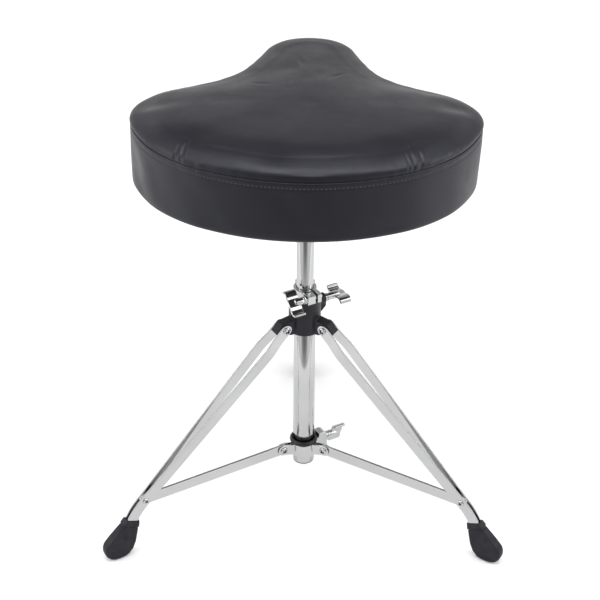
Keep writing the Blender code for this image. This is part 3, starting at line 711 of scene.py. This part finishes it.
# Creases up from the seam at the front corners: where across in mm, lean, length, depth and half-width in mm.
CORNER_CREASES = (
    (-152, 0.12, 30, 0.7, 1.6),
    (-145, 0.20, 40, 1.0, 1.7),
    (118, -0.10, 26, 0.6, 1.5),
    (124, -0.16, 42, 1.1, 1.8),
    (133.5, -0.24, 36, 0.8, 1.6),
)

# Where the seam is puckered most: where across its front in mm, and how much more than elsewhere.
PUCKERED = ((-146, 0.5), (128, 0.6))


def front_place(edge, x, length):
    """How far round the seam its front crosses an x."""
    score = np.abs(edge[:, 0] - x) + 1000 * (edge[:, 1] > -15)
    return int(np.argmin(score)) / len(edge) * length


def off_from(edge, x, length, place):
    """How far each place round the seam is from where its front crosses an x, the short way."""
    return (place - front_place(edge, x, length) + length / 2) % length - length / 2


def crease_profile(off, half, lips):
    """A crease's section: a groove between two lips."""
    return np.exp(-((off / half) ** 2)) - lips * np.exp(-(((np.abs(off) - 2.2 * half) / half) ** 2))


def corner_creases(edge, length, place, away):
    depth = np.zeros(away.shape)
    for x, lean, tall, deep, half in CORNER_CREASES:
        off = off_from(edge, x, length, place)
        off = off + lean * away + 0.6 * np.sin(away * 0.35)
        share = np.clip(away / tall, 0, 1)
        window = np.sqrt(share) * (1 - share) * 2.2
        depth += deep * window * crease_profile(off, half, 0.5)
    return depth


def crease_depth(points):
    """How far each point of the top sinks for the creases."""
    depth = np.zeros(points.shape[:2])
    for start, end, deep, half in CREASES:
        a, b = np.array(start, float), np.array(end, float)
        along = b - a
        length = np.linalg.norm(along)
        along /= length
        relative = points[:, :, :2] - a
        s = relative @ along / length
        off = relative @ np.array((-along[1], along[0]))
        off = off + 1.4 * np.sin(s * 5)
        taper = np.clip(s, 0, 1) * np.clip(1 - s, 0, 1) * 4
        depth += deep * np.sqrt(taper) * crease_profile(off, half, 0.45) * (s > 0) * (s < 1)
    return depth


def cushion():
    edge, length = seat_edge()
    rows = seat_rows(edge)
    rows = stuffed(rows)
    seam_row = len(HEM_ROWS) + len(BAND_ROWS) + 1
    crown_row = len(HEM_ROWS) + len(BAND_ROWS) + len(SEAM_ROWS) + len(ROUND_ROWS)
    # finer rows: every half row, and sixths beside the seam
    at = []
    for k in range(crown_row):
        near = abs(k + 0.5 - seam_row) < 2
        at += list(np.linspace(k, k + 1, 6 if near else 3, endpoint=False))
    at += list(np.arange(crown_row, len(rows) - 0.999, 0.5))
    at = np.array(at)
    columns = COLUMNS * DENSE
    dense = catmull(rows, at, False)
    dense = np.moveaxis(catmull(np.moveaxis(dense, 1, 0), np.arange(columns) / DENSE, True), 1, 0)
    place = np.arange(columns) / columns * length
    normal = grid_normals(dense)
    z = dense[:, :, 2] - SEAM_Z
    # the distance from the seam, measured along the cover
    step = np.linalg.norm(np.diff(dense, axis=0), axis=2)
    run = np.vstack([np.zeros((1, columns)), np.cumsum(step, axis=0)])
    seam_at = np.array([np.interp(seam_row, at, run[:, k]) for k in range(columns)])
    away = run - seam_at
    groove = 1.3 * np.exp(-((away / 1.0) ** 2)) - 0.15 * np.exp(-(((away - 3.0) / 1.6) ** 2))
    pucker = wave(place, 3, 7.0, length) * 0.65 + wave(place, 5, 14.0, length) * 0.35
    strength = 0.5 + 0.3 * wave(place, 11, 90.0, length)
    for spot, extra in PUCKERED:
        off = off_from(edge, spot, length, place)
        strength = strength + extra * np.exp(-((off / 48) ** 2))
    above = np.exp(-(((away - 6) / 7.0) ** 2))
    below = 0.6 * np.exp(-(((away + 4.5) / 4.0) ** 2))
    puckers = -0.5 * strength * pucker * (above + below)
    stitch_line = 0.6 * np.exp(-(((away + STITCH_LINE) / 1.2) ** 2))
    slack = 0.5 * wave(place, 21, 60.0, length) * np.exp(-(((away - 26) / 18) ** 2))
    band_mask = np.clip(-away / 20, 0, 1) * np.clip((BAND_HEIGHT + z) / 12, 0, 1)
    folds = 0.6 * wave(place + away * 0.6, 31, 30.0, length) * band_mask
    top_mask = np.clip((z - 12) / 5, 0, 1)
    sink = groove + puckers + stitch_line + slack + folds + crease_depth(dense) * top_mask
    sink = sink + corner_creases(edge, length, place, away)
    dense = dense - normal * sink[:, :, None]
    # fewer columns towards the middle
    shares = [c[0] for c in CROWN_ROWS]
    widths = []
    for a in at:
        share = np.interp(a, np.arange(crown_row, len(rows)), shares)
        widths.append(1 if a < crown_row else 2 if share > 0.6 else 4 if share > 0.3 else 8 if share > 0.12 else 16)
    vertices, faces, starts = [], [], []
    for row, divide in zip(dense, widths):
        starts.append(len(vertices))
        vertices += [tuple(p) for p in row[::divide]]
    for k in range(len(widths) - 1):
        n, m = columns // widths[k], columns // widths[k + 1]
        a, b = starts[k], starts[k + 1]
        for i in range(m):
            j = (i + 1) % m
            if n == m:
                faces.append((a + i, a + j, b + j, b + i))
            else:
                faces.append((a + 2 * i, a + 2 * i + 1, a + (2 * i + 2) % n, b + j, b + i))
    faces.append(tuple(reversed(range(columns))))
    faces.append(tuple(range(starts[-1], len(vertices))))
    to_world = Matrix.Translation(POST_AXIS) @ Matrix.Scale(MM, 4)
    obj = new_object("seat_cover", [to_world @ Vector(v) for v in vertices], faces, "vinyl", 80)
    stand_for(obj, "seat_cushion")
    stitches(dense, normal, away)
    return edge


def capsule_rings(path, normals):
    """Rings round a short path whose ends narrow to points."""
    rings = []
    count = len(path)
    for k, (point, normal) in enumerate(zip(path, normals)):
        along = path[min(k + 1, count - 1)] - path[max(k - 1, 0)]
        along /= np.linalg.norm(along)
        side = np.cross(along, normal)
        side /= np.linalg.norm(side)
        up = np.cross(side, along)
        size = STITCH_RADIUS * (0.35 if k in (0, count - 1) else 1.0)
        angles = np.arange(STITCH_SIDES) / STITCH_SIDES * math.tau
        rings.append(point + size * (np.cos(angles)[:, None] * side + np.sin(angles)[:, None] * up))
    return rings


def stitches(dense, normal, away):
    """The row of topstitching round the band."""
    columns = dense.shape[1]
    line, out = [], []
    for k in range(columns):
        line.append([np.interp(-STITCH_LINE, away[:, k], dense[:, k, j]) for j in range(3)])
        out.append([np.interp(-STITCH_LINE, away[:, k], normal[:, k, j]) for j in range(3)])
    line, out = np.array(line + line[:1]), np.array(out + out[:1])
    steps = np.linalg.norm(np.diff(line, axis=0), axis=1)
    at = np.concatenate([[0], np.cumsum(steps)])
    count = int(at[-1] / STITCH_PITCH)
    pitch = at[-1] / count
    rise = np.array((-0.35, 0.12, 0.26, 0.12, -0.35))
    vertices, faces = [], []
    sides = STITCH_SIDES
    for i in range(count):
        spots = i * pitch + np.linspace(0, STITCH_LENGTH, 5)
        points = np.stack([np.interp(spots, at, line[:, j]) for j in range(3)], 1)
        normals = np.stack([np.interp(spots, at, out[:, j]) for j in range(3)], 1)
        points = points + normals * rise[:, None]
        start = len(vertices)
        for ring in capsule_rings(points, normals):
            vertices += [tuple(p * MM) for p in ring]
        for k in range(4):
            for s in range(sides):
                t = (s + 1) % sides
                a = start + k * sides
                faces.append((a + s, a + t, a + sides + t, a + sides + s))
        faces.append(tuple(start + s for s in reversed(range(sides))))
        faces.append(tuple(start + 4 * sides + s for s in range(sides)))
    obj = new_object("seat_topstitch", [Vector(v) + POST_AXIS for v in vertices], faces, "thread", 80)
    trim(obj, "seat")


SHEET_INSET = 9.7
SHEET_HEIGHTS = (498.1, 498.5)


def dust_sheet(edge):
    """The thin cloth under the seat, a little puckered along its edge."""
    outline = inset_edge(edge, SHEET_INSET)
    shares = (1.0, 0.985, 0.965, 0.94, 0.9, 0.84, 0.76, 0.66, 0.54, 0.4, 0.26, 0.12, 0.03)
    columns = len(outline)
    angle = np.arange(columns) / columns * math.tau
    layers = []
    for share in shares:
        flat = SEAT_MIDDLE + (outline - SEAT_MIDDLE) * share
        ripple = 0.18 * np.sin(angle * 56) * np.exp(-(1 - share) * 30) * (share < 1)
        layers.append(np.column_stack([flat, ripple]))
    bottom, top = SHEET_HEIGHTS
    rows = [layer + np.array((0, 0, bottom)) for layer in layers[::-1]]
    rows += [layer + np.array((0, 0, top)) for layer in layers]
    loops = [[tuple(p * MM) for p in row] for row in rows]
    obj = skin("seat_dust_sheet", loops, "dust_fabric", Matrix.Translation(POST_AXIS))
    x, y = outline[:, 0], outline[:, 1]
    stand_for(obj, "dust_cover")
    flat = (float(np.ptp(x)) * MM, float(np.ptp(y)) * MM)


# ---------------------------------------------------------------- screws and wing bolts


def screw_head(name, radius, height, matrix, cross=None):
    """A domed head with a cross recess, standing on the XY plane with its top towards +Z, sizes in mm."""
    profile = [(radius * 0.55, -0.3), (radius - 0.25, -0.3), (radius, 0.1)]
    for k in range(7):
        a = math.radians(90 * k / 6)
        profile.append((radius * (0.45 + 0.55 * math.cos(a)), height * (0.35 + 0.65 * math.sin(a))))
    head = lathe(name, profile, "chrome", segments=40, sharp=50)
    # The second slot is the dark recess material: painted shade inside the cross recess.
    head.data.materials.append(MATERIALS["recess"])
    size = cross or radius * 1.45
    for turn in (45, 135):
        width = size * 0.38
        loops = []
        for z, grow in ((0, 0.5), (height + 1, 1.1)):
            a, b = size / 2 * grow, width / 2 * (0.6 + 0.4 * grow)
            loops.append([(x * MM, y * MM, z * MM) for x, y in ((-a, -b), (a, -b), (a, b), (-a, b))])
        cut(head, skin("blade", loops, "recess", turn_z(turn)))
    head.data.transform(matrix)
    smooth_shaded(head.data, 40)
    return head


def pivot_bolt(name, node, matrix, half, radius=5.2, height=2.2, shank=2.9):
    """A bolt along the matrix's Y with a screw head at each end."""
    heads = []
    for side in (-1, 1):
        place = matrix @ Matrix.Translation((0, side * half * MM, 0)) @ facing(side)
        heads.append(screw_head(f"{name}_head", radius, height, place))
    profile = [(shank, -half - 0.2), (shank, half + 0.2)]
    heads.append(lathe(f"{name}_shank", profile, "chrome", matrix @ ALONG_Y, segments=32))
    bolt = joined(name, heads)
    smooth_shaded(bolt.data, 40)
    return stand_for(bolt, node)


# Half of a wing's bowed middle line: out from the barrel and along its turn, in mm.
WING_BOW = ((0, 0), (4.5, -0.8), (9.4, -2.9), (13.6, -3.8), (17.1, -2.3), (19.6, 0.9))
WING_AXIAL = (9.2, 25.5)  # where the wings begin and end along the barrel
WING_THICKNESS = 3.2
WING_CORNER = 1.8
# The barrel's profile as (radius, place along it).
WING_BARREL = (
    (5.2, 0.0),
    (5.7, 0.4),
    (5.7, 2.0),
    (5.3, 2.4),
    (4.9, 2.7),
    (4.9, 3.4),
    (5.3, 3.8),
    (5.3, 4.8),
    (4.9, 5.2),
    (4.9, 5.9),
    (5.2, 6.6),
    (5.3, 9.6),
    (5.2, 15.2),
    (4.9, 16.4),
    (4.0, 17.2),
    (2.6, 17.5),
)


def wing_bolt(node, turn, tip, shank, neck=0.0):
    """A cast wing bolt: a stepped barrel with S-curved wings, along its joint's axis."""
    joint = JOINT[f"{node}_turn"]
    axis = Vector(joint["axis"]).normalized()
    up = Vector((0, 0, 1))
    side = up.cross(axis)
    place = Matrix((axis, side, up)).transposed().to_4x4()
    place.translation = Vector(joint["pos_m"])
    profile = [(shank - 0.7, tip), (shank, tip + 0.8), (shank, 0)]
    profile += [(r, x + neck if x > 6 else x) for r, x in WING_BARREL]
    barrel = lathe(f"{node}_barrel", profile, "chrome", place @ ALONG_X, segments=48, sharp=40)
    half = np.array(WING_BOW, float)
    spine = np.vstack([-half[:0:-1], half])
    spine = catmull(spine, np.linspace(0, len(spine) - 1, 61), False)
    along = np.gradient(spine, axis=0)
    along /= np.linalg.norm(along, axis=1)[:, None]
    out = np.stack([-along[:, 1], along[:, 0]], 1)
    low, high = (x + neck for x in WING_AXIAL)
    loops = []
    reach = np.concatenate([[0], np.cumsum(np.linalg.norm(np.diff(spine, axis=0), axis=1))])
    for k, (point, normal) in enumerate(zip(spine, out)):
        from_end = min(reach[k], reach[-1] - reach[k])
        pull = 0
        if from_end < WING_CORNER:
            pull = WING_CORNER - math.sqrt(max(WING_CORNER**2 - (WING_CORNER - from_end) ** 2, 0))
        thick = WING_THICKNESS * (0.55 + 0.45 * min(from_end / 1.2, 1))
        a, b, t = low + pull, high - pull, thick / 2
        section = rounded([(a, -t), (b, -t), (b, t), (a, t)], thick * 0.3, 3)
        loops.append([(x * MM, *((point + normal * t) * MM)) for x, t in section])
    wings = skin(f"{node}_wings", loops, "chrome", place @ turn_x(math.radians(turn)), sharp=50)
    piece = joined(f"{node}_cast", [barrel, wings])
    smooth_shaded(piece.data, 42)
    return stand_for(flat_faces(piece), node)


# ---------------------------------------------------------------- tubes, plugs and rings


def tube(name, node, outer, wall, low, high):
    inner = outer - wall
    edge = 0.35
    profile = [
        (inner, low + edge),
        (inner + edge, low),
        (outer - edge, low),
        (outer, low + edge),
        (outer, high - edge),
        (outer - edge, high),
        (inner + edge, high),
        (inner, high - edge),
    ]
    obj = lathe(name, profile, "chrome", Matrix.Translation(POST_AXIS), ring=True, segments=128, sharp=50)
    return stand_for(obj, node)


def turned_ring(name, node, points, radius, closed=True):
    """A lathed plastic piece whose profile's corners are rounded."""
    profile = rounded(points, radius, 3, closed)
    obj = lathe(name, profile, "black_plastic", Matrix.Translation(POST_AXIS), ring=closed, segments=96, sharp=50)
    return stand_for(obj, node)


def tubes():
    tube("post_tube", "post", 11.1, 1.8, 150, 493)
    tube("base_pipe", "base_tube", 14.3, 1.4, 58.2, 316)
    ring = [(14.6, 88.8), (17.9, 88.8), (18.7, 90), (18.7, 92.0), (17.2, 94.3), (15.6, 94.8), (14.6, 94.3)]
    turned_ring("collar_bush", "collar_ring", ring, 0.6)
    bush = [(11.4, 270), (12.6, 270), (12.6, 316.3), (14.3, 316.3), (14.3, 318.3), (11.4, 318.3)]
    turned_ring("post_bush", "hub_bush", bush, 0.3)
    cap = [(9, 55.8), (12.7, 55.8, 1.2), (14.0, 57.0, 0.4), (14.0, 57.9, 0)]
    cap += [(12.6, 57.9, 0), (12.6, 68.2, 0.4), (11.4, 70.2, 0.4), (9, 70.2)]
    turned_ring("pipe_cap", "tube_end_cap", cap, 0, closed=False)
    plug = [(6, 147.6), (9.5, 147.6, 0.8), (10.8, 148.6, 0.4), (10.8, 149.7, 0)]
    plug += [(9.0, 149.7, 0), (9.0, 159, 0.4), (7.8, 161, 0.4), (6, 161)]
    turned_ring("post_plug", "post_end_plug", plug, 0, closed=False)


# ---------------------------------------------------------------- hub, lock, collar and bracket


# Piece, its node, material, voxels in mm and rounds of smoothing.
CASTINGS = (
    ("hub_moulding", "leg_hub", "black_nylon", 0.6, 3),
    ("collar_casting", "lower_collar", "chrome", 0.55, 6),
    ("lock_half_left", "memory_lock_left", "chrome", 0.35, 3),
    ("lock_half_right", "memory_lock_right", "chrome", 0.35, 3),
    ("seat_bracket_pressing", "seat_bracket", "black_steel", 0.8, 3),
)


def castings():
    for name, node, *how in CASTINGS:
        stand_for(softened(name, node, *how), node)


# ---------------------------------------------------------------- legs, braces and feet

BOW_RADIUS = 85.0
BOW_START = 6.0  # how far past the brace's pivot the bars start to bow
FOOT_ANGLE = math.radians(22)
BAR_TAIL = 14.0
# How far each bar's middle is from the leg's, by its length from the pivot.
BAR_OFFSETS = ((0, 8.8), (14, 8.9), (22, 9.6), (30, 11.1), (38, 11.9), (284, 3.2), (400, 3.2))
BAR_SIZE = (15.0, 2.5)


def leg_line():
    """A leg's middle line from its pivot, as rows of (length, radius, height, angle from vertical), in mm."""
    dr, dz = (BRACE_PIVOT - LEG_PIVOT) / MM
    spread, length = math.atan2(dr, -dz), math.hypot(dr, dz) + BOW_START
    line = []
    for s in [*range(0, 60, 3), *range(60, 290, 10), length]:
        line.append((s, s * math.sin(spread), -s * math.cos(spread), spread))
    _, x, z, _ = line[-1]
    cx, cz = x - BOW_RADIUS * math.cos(spread), z - BOW_RADIUS * math.sin(spread)
    steps = 16
    for k in range(1, steps + 1):
        a = spread + (FOOT_ANGLE - spread) * k / steps
        s = length + BOW_RADIUS * (spread - a)
        line.append((s, cx + BOW_RADIUS * math.cos(a), cz + BOW_RADIUS * math.sin(a), a))
    s, x, z, a = line[-1]
    line.append((s + BAR_TAIL, x + BAR_TAIL * math.sin(a), z - BAR_TAIL * math.cos(a), a))
    return line


def bar_offset(s):
    """The offset at a length, with the table's corners eased."""
    marks = np.array(BAR_OFFSETS, float)
    spread = np.linspace(-4, 4, 9)
    return float(np.mean(np.interp(np.abs(s + spread), marks[:, 0], marks[:, 1])))


def bar_loop(s, x, z, angle, side, width, thickness, back=0.0):
    """The rounded section of a bar at one place along its leg."""
    radius = min(0.6, thickness * 0.3, width * 0.3)
    a, b = width / 2, thickness / 2
    section = rounded([(-a, -b), (a, -b), (a, b), (-a, b)], radius, 3)
    across = np.array((math.cos(angle), math.sin(angle)))
    centre = np.array((x - back * math.sin(angle), z + back * math.cos(angle)))
    loop = []
    for u, v in section:
        p = centre + across * u
        loop.append((p[0] * MM, (side * bar_offset(s) + v) * MM, p[1] * MM))
    return loop


def leg_bar(name, node, place, side):
    line = leg_line()
    width, thickness = BAR_SIZE
    loops = []
    for degrees in (86, 76, 64, 52, 40, 28, 14):
        a = math.radians(degrees)
        thick = thickness * (0.8 if degrees > 80 else 1)
        loops.append(bar_loop(0, 0, 0, line[0][3], side, width * math.cos(a), thick, width / 2 * math.sin(a)))
    loops += [bar_loop(*row, side, width, thickness) for row in line]
    obj = flat_faces(skin(name, loops, "chrome", place, sharp=40))
    return stand_for(obj, node)


BRACE_RADIUS, BRACE_HALF = 7.5, 1.6
CHANNEL_START, CHANNEL_HALF = 14, 0.7


def brace_bar(name, node, place):
    """A flat bar with round ends, folded as a channel that is open along its top."""
    d = (BRACE_PIVOT - CLEVIS_PIVOT) / MM
    length, slope = d.length, math.atan2(d.y, d.x)
    radius, half = BRACE_RADIUS, BRACE_HALF
    outline = []
    for centre, start in ((0, 90), (length, -90)):
        for k in range(25):
            a = math.radians(start + 180 * k / 24)
            outline.append((centre + radius * math.cos(a), radius * math.sin(a)))
    loops = [[(x * MM, y * MM, z * MM) for x, z in outline] for y in (-half, half)]
    obj = skin(name, loops, "chrome", sharp=40)
    a, b, w = CHANNEL_START, length - CHANNEL_START, CHANNEL_HALF
    slot = rounded([(a, -w), (b, -w), (b, w), (a, w)], 0.6, 4)
    # The cutter carries the dark recess material: painted shade for the channel's inside.
    cutter = skin("channel", [[(x * MM, y * MM, z * MM) for x, y in slot] for z in (-4.0, radius + 2)], "recess")
    cut(obj, cutter)
    obj.data.transform(place @ Matrix.Rotation(-slope, 4, "Y"))
    bevel(obj, 0.35, 3, 40)
    flat_faces(obj)
    return stand_for(obj, node)


RIM_TOP = Vector((258.9, 55.0))  # the middle of a boot's opening, in mm from the post's axis and the floor
RIM_DEPTH = 9.0


def boot(name, node, azimuth):
    """A moulded rubber boot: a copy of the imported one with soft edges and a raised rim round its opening."""
    obj = softened(name, node, "rubber", 0.6, 5)
    down = Vector((math.sin(FOOT_ANGLE), -math.cos(FOOT_ANGLE)))
    leg_frame = about_axis(azimuth)
    inward = leg_frame.inverted()
    count = len(obj.data.vertices)
    places, normals = np.zeros(count * 3), np.zeros(count * 3)
    obj.data.vertices.foreach_get("co", places)
    obj.data.vertices.foreach_get("normal", normals)
    places, normals = places.reshape(-1, 3), normals.reshape(-1, 3)
    local = places @ np.array(inward.to_3x3()).T + np.array(inward.translation)
    depth = (local[:, 0] / MM - RIM_TOP.x) * down.x + (local[:, 2] / MM - RIM_TOP.y) * down.y
    step = 1 / (1 + np.exp(-(depth - RIM_DEPTH) / 0.25))
    groove = np.exp(-(((depth - RIM_DEPTH - 0.9) / 0.8) ** 2))
    fade = np.clip((30 - depth) / 20, 0, 1)
    sink = step * (1.2 * fade) + 0.9 * groove
    downward = np.array(leg_frame.to_3x3() @ Vector((down.x, 0, down.y)))
    wall = (depth > 0.5) & (np.abs(normals @ downward) < 0.8)
    places -= normals * (sink * wall * MM)[:, None]
    obj.data.vertices.foreach_set("co", places.ravel())
    obj.data.update()
    return stand_for(obj, node)


def legs():
    for i, azimuth in enumerate(LEG_AZIMUTHS, 1):
        place = about_axis(azimuth, LEG_PIVOT.x, LEG_PIVOT.y)
        x, z = BRACE_PIVOT - LEG_PIVOT
        outer = bar_offset(Vector((x, z)).length / MM) + BAR_SIZE[1] / 2
        for side, label in ((-1, "right"), (1, "left")):
            leg_bar(f"leg_{i}_strap_{label}", f"leg_{i}_bar_{label}", place, side)
            spot = place @ Matrix.Translation((x, side * outer * MM, z)) @ facing(side)
            head = screw_head(f"leg_{i}_lower_screw_{label}", 4.4, 1.9, spot, 5.4)
            stand_for(head, f"leg_{i}_brace_screw_{label}")
        pivot_bolt(f"leg_{i}_upper_screw", f"leg_{i}_pivot_bolt", place, bar_offset(0) + BAR_SIZE[1] / 2 + 0.1)
        boot(f"foot_{i}_boot", f"foot_{i}", azimuth)
        clevis = about_axis(azimuth, CLEVIS_PIVOT.x, CLEVIS_PIVOT.y)
        brace_bar(f"brace_{i}_channel", f"brace_{i}", clevis)
        pivot_bolt(f"clevis_{i}_screw", f"clevis_bolt_{i}", clevis, 4.0, 5.0, 2.1)


BRACKET_UNDERSIDE = 494.3


def fasteners():
    wing_bolt("hub_wing_bolt", 8, -16.8, 3.9, 4.5)
    wing_bolt("memory_wing_bolt", -25, -22.3, 2.9)
    wing_bolt("seat_wing_bolt", 0, -15.8, 3.9)
    wing_bolt("collar_wing_bolt", -56, -18.6, 3.9)
    place = Matrix.Translation(middle_of("memory_rear_bolt")) @ turn_z(90)
    pivot_bolt("memory_plain_bolt", "memory_rear_bolt", place, 10.8, 4.6, 2.2, 2.5)
    for i in range(1, 5):
        middle = middle_of(f"bracket_screw_{i}")
        spot = Matrix.Translation((middle.x, middle.y, BRACKET_UNDERSIDE * MM)) @ turn_x(math.pi)
        head = screw_head(f"bracket_screw_{i}_head", 5.0, 2.7, spot, 5.6)
        head.data.materials[0] = MATERIALS["zinc_steel"]
        stand_for(head, f"bracket_screw_{i}")


def dress_nodes():
    """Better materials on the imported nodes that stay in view."""
    for name, node in frame["nodes"].items():
        if not node.hide_render:
            node.data.materials.clear()
            node.data.materials.append(MATERIALS[SLOT[name]])


studio()
edge = cushion()
dust_sheet(edge)
tubes()
castings()
fasteners()
legs()
dress_nodes()
